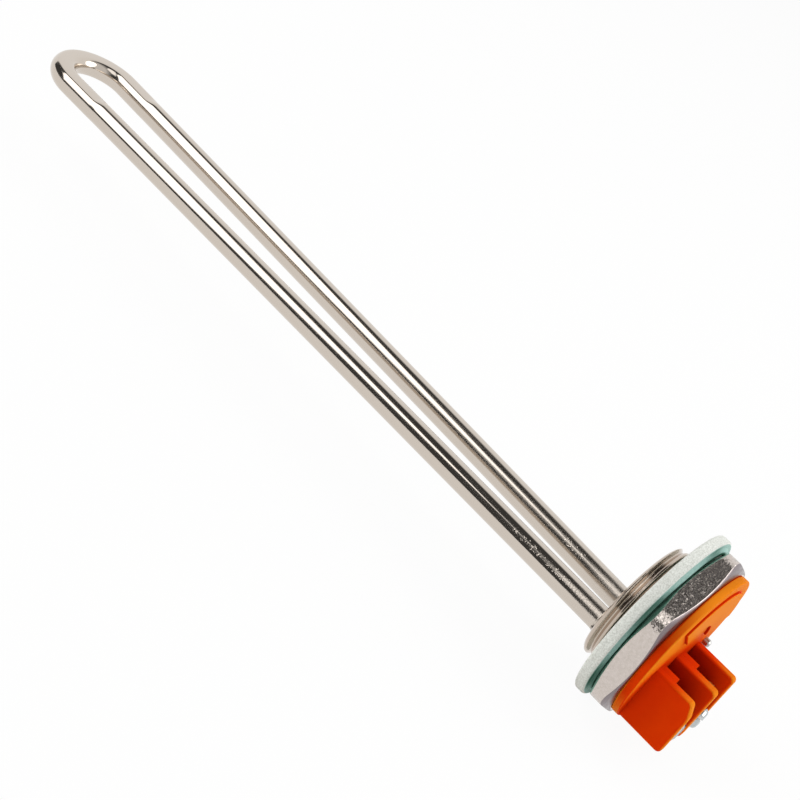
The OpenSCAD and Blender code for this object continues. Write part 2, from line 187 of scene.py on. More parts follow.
# Compressed fibre sheet: matt green faces and a pale edge, each with a fibre mottle. Where a shade colour is
# given, painted shade darkens the sheet in corners where shade falls.
def fibreSheet(name, colour, speck, grainMm, paintedShadeColour=None):
    material, tree, shader, place = startMaterial(name, {"Roughness": 0.75, "Specular IOR Level": 0.3})
    fibres = grain(tree, place, grainMm, detail=4)
    tint = blend(tree, ramp(tree, fibres, 0.35, 0.65), colour, speck)
    if paintedShadeColour:
        # Painted shade: the darker colour in corners, where shade falls
        shade = addNode(tree, "ShaderNodeAmbientOcclusion", {"Distance": 4 * mm}, samples=12)
        tint = blend(tree, ramp(tree, shade.outputs["AO"], 0.24, 0.58), paintedShadeColour, tint)
    tree.links.new(tint, shader.inputs["Base Color"])
    addBump(tree, shader, fibres, strength=0.5, depthMm=0.06)
    return material


# Moulded orange nylon: satin skin with a faint spark-eroded grain. The open faces that look out, up or down
# are painted a lighter yellow-orange, which is painted light. The walls' sides stay red, and painted shade
# turns the nylon deep red where walls and corners shade it.
def orangeNylon():
    material, tree, shader, place = startMaterial("orangeNylonMoulded", {
        "Roughness": 0.5, "Specular IOR Level": 0.008})
    shade = addNode(tree, "ShaderNodeAmbientOcclusion", {"Distance": 14 * mm}, samples=12, only_local=True)
    inTheOpen = ramp(tree, shade.outputs["AO"], 0.74, 0.95)
    normal = addNode(tree, "ShaderNodeNewGeometry").outputs["True Normal"]
    facing = reckon(tree, "ABSOLUTE", reckonVector(tree, "DOT_PRODUCT", normal, (0.66, 0.0, 0.75)))
    # Painted light: a yellow-orange share on open faces that look out, up or down
    paintedLitShare = reckon(tree, "MULTIPLY", inTheOpen, ramp(tree, facing, 0.26, 0.66))
    plainOrange = blend(tree, grain(tree, place, sizeMm=6, detail=2), "#de3402", "#e84002")
    # Painted shade: deep red where the moulding's own walls and corners shade it
    withPaintedShade = blend(tree, ramp(tree, shade.outputs["AO"], 0.12, 0.7), "#a01a02", plainOrange)
    tree.links.new(blend(tree, paintedLitShare, withPaintedShade, "#f0881c"), shader.inputs["Base Color"])
    skin = grain(tree, place, sizeMm=0.3, detail=2)
    addBump(tree, shader, skin, strength=0.25, depthMm=0.02)
    return material


# Any plain metal: a tint that drifts a little, and roughness that follows it
def plainMetal(name, colour, drift, roughness, grainMm=1.5):
    material, tree, shader, place = startMaterial(name, {"Metallic": 1.0})
    cloud = grain(tree, place, grainMm, detail=3)
    tree.links.new(blend(tree, cloud, colour, drift), shader.inputs["Base Color"])
    rough = ramp(tree, cloud, 0.0, 1.0, roughness * 0.7, roughness * 1.3)
    tree.links.new(rough, shader.inputs["Roughness"])
    return material


# Brazing metal under burnt flux: rough pale metal with black specks in its hollows
def brazedMetal():
    material, tree, shader, place = startMaterial("brazedJointFluxed", {"Metallic": 1.0, "Roughness": 0.38})
    crust = grain(tree, place, sizeMm=1.3, detail=4)
    tint = blend(tree, ramp(tree, crust, 0.42, 0.52), "#3d352e", "#cdc3b7")
    tree.links.new(tint, shader.inputs["Base Color"])
    addBump(tree, shader, crust, strength=0.6, depthMm=0.15)
    return material


# Any plain insulator: powder, ceramic or resin, with a soft mottle
def plainMass(name, colour, drift, roughness, grainMm):
    material, tree, shader, place = startMaterial(name, {"Roughness": roughness})
    tint = blend(tree, grain(tree, place, grainMm, detail=3), colour, drift)
    tree.links.new(tint, shader.inputs["Base Color"])
    return material


finish = {
    "nickel": nickelPlate(),
    "forging": grainedForging(),
    "turned": turnedPlate("nickelPlateTurned", "#c1b3a6", 0.13),
    # Painted shade: the terminal-side chamfer is tinted a darker purple-grey for the shade it lies in
    "chamfer": turnedPlate("nickelPlatePaintedShadeChamfer", "#847a7c", 0.3),
    # Painted reflection: the relief, seat and near chamfer are tinted green for the shaded gasket they mirror
    "dull": turnedPlate("nickelPlatePaintedGreenReflection", "#86ab9b", 0.6),
    "gasketEdge": fibreSheet("fibreSheetCutEdge", "#cfd1c9", "#eef0ea", 0.36),
    # The green face has painted shade, dark green in its corners next to the hexagon
    "gasketFace": fibreSheet("fibreSheetGreenFace", "#98c0b7", "#b0d0c8", 0.6, "#346a54"),
    "orange": orangeNylon(),
    "zinc": plainMetal("zincPlatedSteel", "#aab3b8", "#c9cbc6", 0.24),
    "steel": plainMetal("drawnSteel", "#a9a9a8", "#bcbab6", 0.3),
    "brass": plainMetal("stampedBrass", "#c8a75c", "#b8954e", 0.32),
    "braze": brazedMetal(),
    "wire": plainMetal("oxidisedHeatingWire", "#5a5652", "#6d6762", 0.5),
    "magnesia": plainMass("pressedMagnesia", "#ebe8e0", "#dedad0", 0.95, 0.3),
    "ceramic": plainMass("firedCeramic", "#e8e0cf", "#d9cfba", 0.55, 0.6),
    "resin": plainMass("castResin", "#7a4a28", "#8b5933", 0.3, 1.0),
}
print("materials:", len(finish))


# Meshes

def newMesh(name, points, faces):
    mesh = bpy.data.meshes.new(name)
    mesh.from_pydata(points, [], faces)
    return mesh


def addObject(name, data):
    added = bpy.data.objects.new(name, data)
    scene.collection.objects.link(added)
    return added


def newPiece(name, points, faces, materials, body, replacing, smoothAngle=35):
    return placePiece(name, newMesh(name, points, faces), materials, body, replacing, smoothAngle)


def placePiece(name, mesh, materials, body, replacing, smoothAngle=None):
    mesh.materials.clear()
    for material in materials:
        mesh.materials.append(material)
    if smoothAngle:
        mesh.shade_smooth()
        mesh.set_sharp_from_angle(angle=math.radians(smoothAngle))
    piece = addObject(name, mesh)
    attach(piece, body)
    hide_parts(*replacing)
    return piece


# A loose object, for work in progress
def blank(name, points, faces):
    return addObject(name, newMesh(name, points, faces))


def discard(work):
    mesh = work.data
    bpy.data.objects.remove(work)
    bpy.data.meshes.remove(mesh)


# The mesh that a loose object's modifiers leave
def settle(work):
    mesh = bpy.data.meshes.new_from_object(work.evaluated_get(bpy.context.evaluated_depsgraph_get()))
    discard(work)
    return mesh


# One solid from several that overlap, or with others cut out of it
def merged(base, others, operation):
    for other in others:
        step = base.modifiers.new("merge", "BOOLEAN")
        step.operation = operation
        step.solver = "EXACT"
        step.object = other
    name = base.name
    mesh = settle(base)
    for other in others:
        discard(other)
    return addObject(name, mesh)


# Faces between rings of equal length; a closed tube also joins the last ring to the first
def ringFaces(ringCount, ringSize, closed=False):
    faces = []
    for i in range(ringCount if closed else ringCount - 1):
        a, b = i * ringSize, (i + 1) % ringCount * ringSize
        for j in range(ringSize):
            k = (j + 1) % ringSize
            faces.append((a + j, a + k, b + k, b + j))
    return faces


# The two flat ends of a stack of rings
def endFaces(ringCount, ringSize):
    last = (ringCount - 1) * ringSize
    return [tuple(reversed(range(ringSize))), tuple(range(last, last + ringSize))]


# A share from 0 to 1 that starts and stops gently
def eased(share):
    return share * share * (3 - 2 * share)


# Directions of equal steps round a circle
def roundAngles(count):
    return [2 * math.pi * j / count for j in range(count)]


# Points of a profile of (x, radius) pairs turned about a line along X
def turned(profile, segments, y=0.0, z=0.0):
    points = []
    for x, r in profile:
        for angle in roundAngles(segments):
            points.append((x * mm, (y + r * math.cos(angle)) * mm, (z + r * math.sin(angle)) * mm))
    return points


# Points of an arc about a centre, from one angle to another in degrees
def arc(x, r, radius, start, end, steps):
    points = []
    for i in range(steps + 1):
        angle = math.radians(start + (end - start) * i / steps)
        points.append((x + radius * math.cos(angle), r + radius * math.sin(angle)))
    return points


# An outline moved inwards by a small distance, for an outline that runs anticlockwise
def insetOutline(outline, distance):
    moved = []
    count = len(outline)
    for i, point in enumerate(outline):
        before, here, after = Vector(outline[i - 1]), Vector(point), Vector(outline[(i + 1) % count])
        a, b = (here - before).normalized(), (after - here).normalized()
        na, nb = Vector((-a.y, a.x)), Vector((-b.y, b.x))
        moved.append(here + (na + nb) * (distance / (1 + na.dot(nb))))
    return moved


# A slab of an outline in (z, x) or (y, z), its edges rounded at both ends or at the far end only
def slab(name, outline, start, end, rounding, across="y", steps=6, bothEnds=True):
    layers = []
    for i in range(steps + 1):
        turn = math.pi / 2 * i / steps
        layers.append((rounding * (1 - math.cos(turn)), rounding * (1 - math.sin(turn))))  # depth, inset
    near = [(start + depth, inset) for depth, inset in layers] if bothEnds else [(start, 0.0)]
    far = [(end - depth, inset) for depth, inset in reversed(layers)]
    points = []
    for level, inset in near + far:
        for a, b in insetOutline(outline, inset):
            points.append((b * mm, level * mm, a * mm) if across == "y" else (level * mm, a * mm, b * mm))
    count = len(near) + len(far)
    faces = ringFaces(count, len(outline)) + endFaces(count, len(outline))
    work = blank(name, points, faces)
    bm = bmesh.new()
    bm.from_mesh(work.data)
    bmesh.ops.recalc_face_normals(bm, faces=bm.faces)
    bm.to_mesh(work.data)
    bm.free()
    return work


# Smooth shading that leaves large faces flat: at each corner the faces that look nearly the same way count by
# their area
def flattenShading(work, sameWay=40):
    mesh = settle(work)
    limit = math.cos(math.radians(sameWay))
    around = [[] for _ in mesh.vertices]
    for polygon in mesh.polygons:
        for vertex in polygon.vertices:
            around[vertex].append((polygon.normal.copy(), polygon.area))
    normals = [None] * len(mesh.loops)
    for polygon in mesh.polygons:
        for loop, vertex in zip(polygon.loop_indices, polygon.vertices):
            total = Vector()
            for normal, area in around[vertex]:
                if normal.dot(polygon.normal) > limit:
                    total += normal * area
            normals[loop] = total.normalized()
    mesh.shade_smooth()
    mesh.normals_split_custom_set(normals)
    return mesh


# A copy of a CAD node with its outer edges eased, to stand for it
easing = {"width": 0.12, "segments": 2, "weld": 0.001, "flatWithin": math.radians(0.3), "sharpOver": 0.6}


def easedCopy(node, name, material, body):
    bm = bmesh.new()
    bm.from_mesh(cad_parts[node].data)
    bmesh.ops.remove_doubles(bm, verts=bm.verts, dist=easing["weld"] * mm)
    bmesh.ops.dissolve_limit(bm, angle_limit=easing["flatWithin"], verts=bm.verts, edges=bm.edges)
    outer = [edge for edge in bm.edges if len(edge.link_faces) == 2 and edge.is_convex]
    sharp = [edge for edge in outer if edge.calc_face_angle() > easing["sharpOver"]]
    bmesh.ops.bevel(bm, geom=sharp, offset=easing["width"] * mm, offset_type="OFFSET",
                    segments=easing["segments"], profile=0.5, affect="EDGES", clamp_overlap=True)
    work = blank(name, [], [])
    bm.to_mesh(work.data)
    bm.free()
    placePiece(name, flattenShading(work), [material], body, [node])


# Sheath tube: one hairpin, round in the legs, pressed flat in the bend and a little way into the legs
element = {
    "od": 6.4, "wall": 0.45, "bendRadius": 10.7, "legPitch": 13.4, "legDrop": 6.3, "bendDrop": 2.5,
    "legLength": 203.5, "bossEnd": -5.1, "tail": 4.9, "pressThickness": 5.4, "pressSpread": 0.3,
    "pressStart": {-1: 13.5, 1: 13.0}, "pressRun": 4.0, "sides": 72, "bendStations": 72, "legStations": 24,
    "fineStations": 30, "fineStep": 0.5,
}
xBend = element["bossEnd"] - element["legLength"]
tilt = math.atan((element["legDrop"] - element["bendDrop"]) / element["legLength"])
run = element["legLength"] / math.cos(tilt)
half = element["legPitch"] / 2
lean = math.asin(element["bendRadius"] / math.hypot(run, half)) - math.atan2(half, run)
loopFrame = Matrix.Translation((xBend, 0, -element["bendDrop"])) @ Matrix.Rotation(tilt, 4, "Y")


# Distance along a leg, from its end of the bend, at which it crosses a plane across the axis
def alongLeg(x):
    return ((x - xBend) / math.cos(tilt) - element["bendRadius"] * math.sin(lean)) / math.cos(lean)


# A place on a leg in the plug's frame: distance from the bend, then off the leg's centre line
def onLeg(side, distance, out=0.0, up=0.0):
    turn = Matrix.Rotation(-side * lean, 4, "Z")
    return loopFrame @ (turn @ Vector((distance, side * (element["bendRadius"] + out), up)))


# Share of pressing at a distance before the bend, on one leg
def pressed(side, distance):
    share = max(0.0, min(1.0, (element["pressStart"][side] - distance) / element["pressRun"]))
    return eased(share)


# Stations along the hairpin as (centre, outward direction, share of pressing), in the loop's own plane
def hairpinStations(xEnd):
    reach = alongLeg(xEnd)
    fine = [i * element["fineStep"] for i in range(1, element["fineStations"] + 1)]  # where the pressing ends
    coarse = [reach * (1 - i / element["legStations"]) for i in range(element["legStations"] - 2)]
    steps = sorted(set(coarse + fine), reverse=True)
    legs = {}
    for side in (-1, 1):
        turn = Matrix.Rotation(-side * lean, 4, "Z")
        legs[side] = [(turn @ Vector((d, side * element["bendRadius"], 0)), turn @ Vector((0, side, 0)),
                       pressed(side, d)) for d in steps]
    sweep = math.pi + 2 * lean
    bend = []
    for i in range(element["bendStations"] + 1):
        angle = -math.pi / 2 + lean - sweep * i / element["bendStations"]
        out = Vector((math.cos(angle), math.sin(angle), 0))
        bend.append((out * element["bendRadius"], out, 1.0))
    return legs[-1] + bend + legs[1][::-1]


# A soft stop: follows the value until it comes near the limit
def softLimit(value, limit, hardness=12):
    return value / (1 + abs(value / limit) ** hardness) ** (1 / hardness)


def hairpinRing(station, inset):
    centre, out, share = station
    radius = element["od"] / 2 - inset + share * element["pressSpread"] / 2
    ring = []
    for angle in roundAngles(element["sides"]):
        tall = radius * math.sin(angle)
        tall += share * (softLimit(tall, element["pressThickness"] / 2 - inset) - tall)
        ring.append(loopFrame @ (centre + out * radius * math.cos(angle) + Vector((0, 0, tall))) * mm)
    return ring


# A skin along the hairpin from an outer to an inner inset, closed at both ends
def hairpinSkin(xEnd, outer, inner):
    stations = hairpinStations(xEnd)
    points = []
    for station in stations:
        points += hairpinRing(station, outer)
    for station in reversed(stations):
        points += hairpinRing(station, inner)
    return points, ringFaces(2 * len(stations), element["sides"], closed=True)


points, faces = hairpinSkin(element["tail"], 0.0, element["wall"])
newPiece("sheathTube", points, faces, [finish["nickel"]], heater, ["sheath_tube"])
print("sheath tube: lean", round(math.degrees(lean), 3), "tilt", round(math.degrees(tilt), 3))


# Magnesia: fills the tube round the coil, and is pressed flat with it
powder = {"end": 0.9, "gap": 0.02, "bore": 1.47, "core": 0.93, "coreEnd": -43.0}


def buildMagnesia():
    radius = element["od"] / 2
    shell, shellFaces = hairpinSkin(powder["end"], element["wall"] + powder["gap"], radius - powder["bore"])
    stations = hairpinStations(powder["coreEnd"])
    core = []
    for centre, out, _ in stations:
        core += hairpinRing((centre, out, 0.0), radius - powder["core"])  # the coil keeps its core round
    offset, ring = len(shell), element["sides"]
    coreFaces = ringFaces(len(stations), ring) + endFaces(len(stations), ring)
    faces = shellFaces + [tuple(i + offset for i in face) for face in coreFaces]
    newPiece("magnesiaFill", shell + core, faces, [finish["magnesia"]], heater, ["magnesia_fill"])


buildMagnesia()

# Brazed joints: lumpy fillets round the foot of each leg
fillet = {
    "height": 1.3, "width": 1.1, "edge": 0.05, "least": 0.03, "gap": 0.02, "under": 0.3,
    "steps": 10, "sides": 72,
    "lump": 0.14, "lumpSize": 1.2, "lumpRise": 2.0, "lumpRadius": 3.0, "lumpShift": 7.0, "lumpBias": 1.6,
}


# How far the braze swells at a share of its height and a direction round the leg
def lumpAt(side, share, angle):
    reach = fillet["lumpRadius"]
    spot = Vector((share * fillet["lumpRise"], math.cos(angle) * reach + fillet["lumpShift"] * side,
                   math.sin(angle) * reach)) / fillet["lumpSize"]
    return fillet["lump"] * noise.noise(spot) * share * (fillet["lumpBias"] - share)


def buildBraze(name, side):
    points = []
    radius = element["od"] / 2
    foot = alongLeg(element["bossEnd"])
    directions = roundAngles(fillet["sides"])

    def addPoint(distance, r, angle):
        points.append(onLeg(side, distance, r * math.cos(angle), r * math.sin(angle)) * mm)

    for i in range(fillet["steps"] + 1):
        share = i / fillet["steps"]
        wide = fillet["edge"] + (fillet["width"] - fillet["edge"]) * (1 - math.cos(share * math.pi / 2))
        for angle in directions:
            swell = max(fillet["least"], wide + lumpAt(side, share, angle))
            addPoint(foot - fillet["height"] * (1 - share), radius + swell, angle)
    underside = (foot + fillet["under"], foot - fillet["height"])  # back under the fillet, along the tube
    for distance in underside:
        for angle in directions:
            addPoint(distance, radius + fillet["gap"], angle)
    faces = ringFaces(fillet["steps"] + 1 + len(underside), fillet["sides"], closed=True)
    newPiece("braze" + name.capitalize(), points, faces, [finish["braze"]], heater,
             ["braze_" + name], smoothAngle=60)


for name, side in sides.items():
    buildBraze(name, side)
print("magnesia and brazed joints")


# Plug: rounded hexagon with turned chamfers, gasket seat, threaded boss and the cup behind
plug = {
    "acrossFlats": 45.0, "cornerRadius": 6.0, "edge": 0.16, "edgeTilt": 0.8, "nearFace": 3.9, "back": 9.9,
    "chamferAngle": 24.0, "chamferDiameter": 43.6, "backLand": 0.5,
    "seatRadius": 20.5, "seat": 3.0, "seatEase": 0.2,
    "bossEnd": -5.1, "endRound": 0.4, "endRings": (0.02, 4.0, 8.0, 11.0, 13.0),
    "leadLength": 1.7, "leadDepth": 2.0, "leadCurve": 4, "reliefDepth": 0.9, "reliefStart": 0.9,
    "threadRadius": 16.6, "threadPitch": 2.309, "threadDepth": 0.75, "threadStart": -2.92, "threadEnd": 0.1,
    "flankGain": 1.3, "flankDrop": 0.1, "threadRows": 110, "firstThreadRow": 5,
    "cupRadius": 13.0, "cupEase": 0.3, "floor": -1.1, "segments": 360,
}
plugFinishes = ["turned", "forging", "chamfer", "dull"]


# Radius of the rounded hexagon in a given direction, with a corner straight up
def hexRadius(angle):
    flat, corner = plug["acrossFlats"] / 2, plug["cornerRadius"]
    fromFlat = abs((angle + math.pi / 6) % (math.pi / 3) - math.pi / 6)
    inner = flat - corner
    if fromFlat <= math.atan(inner * math.tan(math.pi / 6) / flat):
        return flat / math.cos(fromFlat)
    centre = inner / math.cos(math.pi / 6)
    fromCorner = math.pi / 6 - fromFlat
    return centre * math.cos(fromCorner) + math.sqrt(corner ** 2 - (centre * math.sin(fromCorner)) ** 2)


# Radius of the threaded boss at a place along the axis and a direction round it
def threadRadius(x, angle):
    phase = (x - plug["threadStart"]) / plug["threadPitch"] - angle / (2 * math.pi)
    ridge = abs((phase % 1.0) * 2 - 1)  # 1 on the crest, 0 in the root
    ridge = min(1.0, max(0.0, plug["flankGain"] * ridge - plug["flankDrop"]))  # both a little flat
    ridge = (eased(ridge) + ridge) / 2
    onThread = plug["threadRadius"] - plug["threadDepth"] * (1 - ridge)
    left = max(0.0, 1 - (x - plug["bossEnd"]) / plug["leadLength"])
    return min(onThread, plug["threadRadius"] - plug["leadDepth"] * left ** plug["leadCurve"])


# Rows of the plug's surface from the boss's end face round to the cup's floor. Each is a function of the
# direction that gives x and radius, with the finish of the band that follows it.
def plugRows():
    rows = []
    end, nose, edge = plug["bossEnd"], plug["endRound"], plug["edge"]
    top = plug["threadRadius"] - plug["leadDepth"]
    back, near = plug["back"], plug["nearFace"]
    slope, flatR = math.tan(math.radians(plug["chamferAngle"])), plug["chamferDiameter"] / 2

    def ring(x, r, band="turned"):
        rows.append((lambda angle: (x, r), band))

    def threadRow(x):
        rows.append((lambda angle: (x, threadRadius(x, angle)), "turned"))

    # A row round the hexagon on one of its chamfers, so far inside the flats
    def hexRow(face, way, inset, band):
        def place(angle):
            r = hexRadius(angle) - inset
            return face + way * ((r - flatR) * slope + (edge - inset) * plug["edgeTilt"]), r
        rows.append((place, band))

    for r in plug["endRings"] + (top - nose,):
        ring(end, r)
    for x, r in arc(end + nose, top - nose, nose, 180, 125, steps=4):
        ring(x, r)
    for i in range(plug["firstThreadRow"], plug["threadRows"] + 1):
        threadRow(end + (plug["threadEnd"] - end) * i / plug["threadRows"])
    core = plug["threadRadius"] - plug["reliefDepth"]
    seat, seatR, ease = plug["seat"], plug["seatRadius"], plug["seatEase"]
    # The relief, the seat, the hexagon's near face and its chamfer take the green painted reflection of the
    # gasket
    for x, r in ((plug["reliefStart"], core), (seat, core), (seat, seatR - ease), (seat + ease, seatR),
                 (near, seatR), (near, flatR - edge)):
        ring(x, r, "dull")
    # Each edge of the hexagon is eased in four rows, at shares of its width
    for share, band in ((1.0, "dull"), (0.4, "forging"), (0.1, "forging"), (0.0, "forging")):
        hexRow(near, 1, edge * share, band)
    for share, band in ((0.0, "forging"), (0.1, "forging"), (0.4, "chamfer"), (1.0, "chamfer")):
        hexRow(back, -1, edge * share, band)
    cup, ease, floor = plug["cupRadius"], plug["cupEase"], plug["floor"]
    for x, r in ((back, flatR), (back, flatR - plug["backLand"]), (back, cup + ease), (back - ease, cup),
                 (floor, cup), (floor, plug["endRings"][0])):
        ring(x, r)
    return rows


def buildPlug():
    points = []
    count = plug["segments"]
    rows = plugRows()
    for place, _ in rows:
        for angle in roundAngles(count):
            x, r = place(angle)
            points.append((x * mm, r * mm * math.cos(angle), r * mm * math.sin(angle)))
    faces = ringFaces(len(rows), count) + endFaces(len(rows), count)
    piece = newPiece("hexPlug", points, faces, [finish[band] for band in plugFinishes], heater,
                     ["hex_plug"], smoothAngle=38)
    for polygon in piece.data.polygons:
        if polygon.loop_total == 4:
            row = min(v // count for v in polygon.vertices)
            polygon.material_index = plugFinishes.index(rows[row][1])


buildPlug()
print("hex plug with thread")


# Gasket: flat fibre ring, cut edge pale and eased, sitting loosely a little off the thread's axis
gasket = {
    "outer": 24.6, "inner": 17.4, "thickness": 3.0, "easing": 0.8, "shift": 0.7, "way": 61.0, "segments": 288,
    "faceRings": (19.5, 22.0),
    # Soft sheet that the seat has squeezed up beside it: height over the face, and radius
    "squeezed": ((0.0, 23.2), (0.12, 22.75), (0.65, 22.3), (0.75, 21.75), (0.6, 21.35), (0.0, 21.32)),
}


def buildGasket():
    ease, outer, inner, thick = gasket["easing"], gasket["outer"], gasket["inner"], gasket["thickness"]
    middle, wide = gasket["faceRings"]
    profile = [(0.0, inner), (0.0, middle), (0.0, wide)]
    profile += arc(ease, outer - ease, ease, 180, 90, steps=8)
    profile += arc(thick - ease, outer - ease, ease, 90, 0, steps=8)
    greenStart = len(profile) - 3  # the green face begins on the easing's last steps
    profile += [(thick + height, r) for height, r in gasket["squeezed"]]
    greenEnd = len(profile) - 1
    profile += [(thick, middle), (thick, inner)]
    count = gasket["segments"]
    way = math.radians(gasket["way"])
    points = turned(profile, count, gasket["shift"] * math.cos(way), gasket["shift"] * math.sin(way))
    piece = newPiece("sealingGasket", points, ringFaces(len(profile), count, closed=True),
                     [finish["gasketFace"], finish["gasketEdge"]], heater,
                     ["sealing_gasket"])
    for polygon in piece.data.polygons:
        row = min(v // count for v in polygon.vertices)
        polygon.material_index = 0 if greenStart <= row < greenEnd else 1


buildGasket()
print("gasket")


# Terminal block: one moulding with a base disc, three barrier walls, two shelves, two ledges and a raised pad
block = {
    "back": 9.9, "face": 12.0, "discRadius": 21.55, "discEase": 0.35, "spigotRadius": 12.8, "spigot": 1.3,
    "segments": 192, "lap": 0.4, "root": 1.0,  # pieces of the moulding lap each other and stand in the disc
    "wallEnd": 24.4, "mouth": -2.0, "rear": -17.5, "wallRound": 0.7, "cornerRound": 1.2, "midHalf": 1.5,
    "bayWidth": 8.4, "sideWall": 2.6, "fall": 1.1, "fallLength": 4.0,
    # Where the slant begins: distance along from there, and below the wall's end
    "fallCurve": ((0.9, 0.22), (0.3, 0.09), (-0.4, 0.02), (-1.1, 0.0)),
    "shelf": 20.4, "shelfFront": -9.3, "shelfEase": 0.15,
    "ledge": 16.6, "ledgeWidth": 2.5, "ledgeSetBack": 0.2, "ledgeEase": 0.35,
    "padRadii": (8.0, 18.4), "padAngles": (18.0, 144.0), "padHeight": 0.6, "padRoot": 0.5, "padEase": 0.25,
}


# Side view of a wall in (z, x); its end may fall away towards the mouth
def wallOutline(fall):
    r, end, base = block["cornerRound"], block["wallEnd"], block["face"] - block["root"]
    rear, mouth = block["rear"], block["mouth"]
    outline = [(rear, base), (mouth, base)]
    slant = math.degrees(math.atan2(fall, block["fallLength"]))
    outline += arc(mouth - r, end - fall - r, r, 0, 90 - slant, steps=6)
    if fall:
        turnAt = mouth - block["fallLength"]
        outline += [(turnAt + along, end - below) for along, below in block["fallCurve"]]
    outline += arc(rear + r, end - r, r, 90, 180, steps=6)
    return outline


def boxOutline(a0, b0, a1, b1):
    return [(a0, b0), (a1, b0), (a1, b1), (a0, b1)]


def buildBlock():
    back, face, ease = block["back"], block["face"], block["discEase"]
    disc = block["discRadius"]
    spigotR = block["spigotRadius"]
    profile = [(back - block["spigot"], spigotR), (back, spigotR), (back, disc - ease)]
    profile += arc(back + ease, disc - ease, ease, 180, 90, steps=4)[1:]
    profile += arc(face - ease, disc - ease, ease, 90, 0, steps=4)
    count = block["segments"]
    base = blank("terminalBlock", turned(profile, count),
                 ringFaces(len(profile), count) + endFaces(len(profile), count))
    bay, half, wall = block["bayWidth"], block["midHalf"], block["sideWall"]
    outer = half + bay + wall
    roundness, lap, foot = block["wallRound"], block["lap"], face - block["root"]
    others = [
        slab("leftWall", wallOutline(block["fall"]), -outer, -outer + wall, roundness),
        slab("midWall", wallOutline(0.0), -half, half, roundness),
        slab("rightWall", wallOutline(0.0), outer - wall, outer, roundness),
    ]
    shelf = boxOutline(block["rear"] + lap, foot, block["shelfFront"], block["shelf"])
    ledge = boxOutline(block["shelfFront"] - lap, foot, block["mouth"] - block["ledgeSetBack"],
                       block["ledge"])
    for name, start in (("left", -half - bay), ("right", half)):
        others.append(slab(name + "Shelf", shelf, start - lap, start + bay + lap, block["shelfEase"]))
        others.append(slab(name + "Ledge", ledge, start - lap, start + block["ledgeWidth"],
                           block["ledgeEase"]))
    inner, wide = block["padRadii"]
    first, last = block["padAngles"]
    pad = arc(0, 0, wide, first, last, steps=40) + arc(0, 0, inner, last, first, steps=24)
    others.append(slab("pad", pad, face - block["padRoot"], face + block["padHeight"], block["padEase"],
                       across="x", bothEnds=False))
    mesh = flattenShading(merged(base, others, "UNION"))
    placePiece("terminalBlock", mesh, [finish["orange"]], heater, ["terminal_block"])


buildBlock()
print("terminal block")


# Terminal screws: domed slotted heads on threaded shanks
screw = {
    "y": 5.7, "z": -13.5, "strapTop": 21.8, "shankRadius": 2.05, "length": 7.3,
    "headRadius": 3.0, "headHeight": 2.5,
    "headClear": 0.03, "headEase": 0.15,  # the head stays a hair clear of the strap
    "domeRadius": 1.2, "domeTop": ((0.01, 0.8), (0.0, 0.02)),  # below the top, radius
    "pitch": 0.7, "threadDepth": 0.3, "tipDrop": 0.55, "tipSlope": 0.9,
    "slotWidth": 1.1, "slotDepth": 1.2, "slotPast": 1.0, "slotEase": 0.02,
    "sides": 64, "shankRows": 108,
    "out": {"left": 0.0, "right": 0.9}, "slotAngle": {"left": 75.0, "right": 140.0},
}


def buildScrew(name, side):
    seat = screw["strapTop"] + screw["out"][name]
    y, z = side * screw["y"], screw["z"]
    tip = seat - screw["length"]
    count = screw["sides"]
    points = []
    rows = screw["shankRows"]
    for i in range(rows + 1):
        x = tip + (seat - tip) * i / rows
        for angle in roundAngles(count):
            phase = (x / screw["pitch"] - angle / (2 * math.pi)) % 1.0
            r = screw["shankRadius"] - screw["threadDepth"] * (1 - abs(2 * phase - 1))
            r = min(r, screw["shankRadius"] - screw["tipDrop"] + (x - tip) * screw["tipSlope"])
            points.append((x * mm, (y + r * math.cos(angle)) * mm, (z + r * math.sin(angle)) * mm))
    head, dome, top = screw["headRadius"], screw["domeRadius"], seat + screw["headHeight"]
    under, ease = seat + screw["headClear"], screw["headEase"]
    profile = [(under, head - ease), (under + ease, head)]
    profile += arc(top - dome, head - dome, dome, 90, 15, steps=8)
    profile += [(top - drop, r) for drop, r in screw["domeTop"]]
    points += turned(profile, count, y, z)
    total = rows + 1 + len(profile)
    work = blank("terminalScrew", points, ringFaces(total, count) + endFaces(total, count))
    w, past = screw["slotWidth"] / 2, screw["slotPast"]
    cutter = slab("slot", boxOutline(-head - past, -w, head + past, w), top - screw["slotDepth"], top + past,
                  screw["slotEase"], across="x")
    spin = Matrix.Rotation(math.radians(screw["slotAngle"][name]), 4, "X")
    cutter.data.transform(Matrix.Translation((0, y * mm, z * mm)) @ spin)
    mesh = flattenShading(merged(work, [cutter], "DIFFERENCE"))
    placePiece("terminalScrew" + name.capitalize(), mesh, [finish["zinc"]], name + "_screw",
               ["terminal_screw_" + name])


for name, side in sides.items():
    buildScrew(name, side)
    easedCopy("strap_" + name, "strap" + name.capitalize(), finish["brass"], heater)
easedCopy("block_pin", "blockPin", finish["steel"], heater)
print("screws, straps and pin")

# What is sealed inside keeps its CAD form
inside = {
    "resistance_coil": "wire",
    "cold_pin_left": "steel", "cold_pin_right": "steel",
    "end_seal_left": "resin", "end_seal_right": "resin",
    "end_bush_left": "ceramic", "end_bush_right": "ceramic",
}
for node, name in inside.items():
    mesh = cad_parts[node].data
    mesh.materials.clear()
    mesh.materials.append(finish[name])
print("inner pieces:", len(inside))


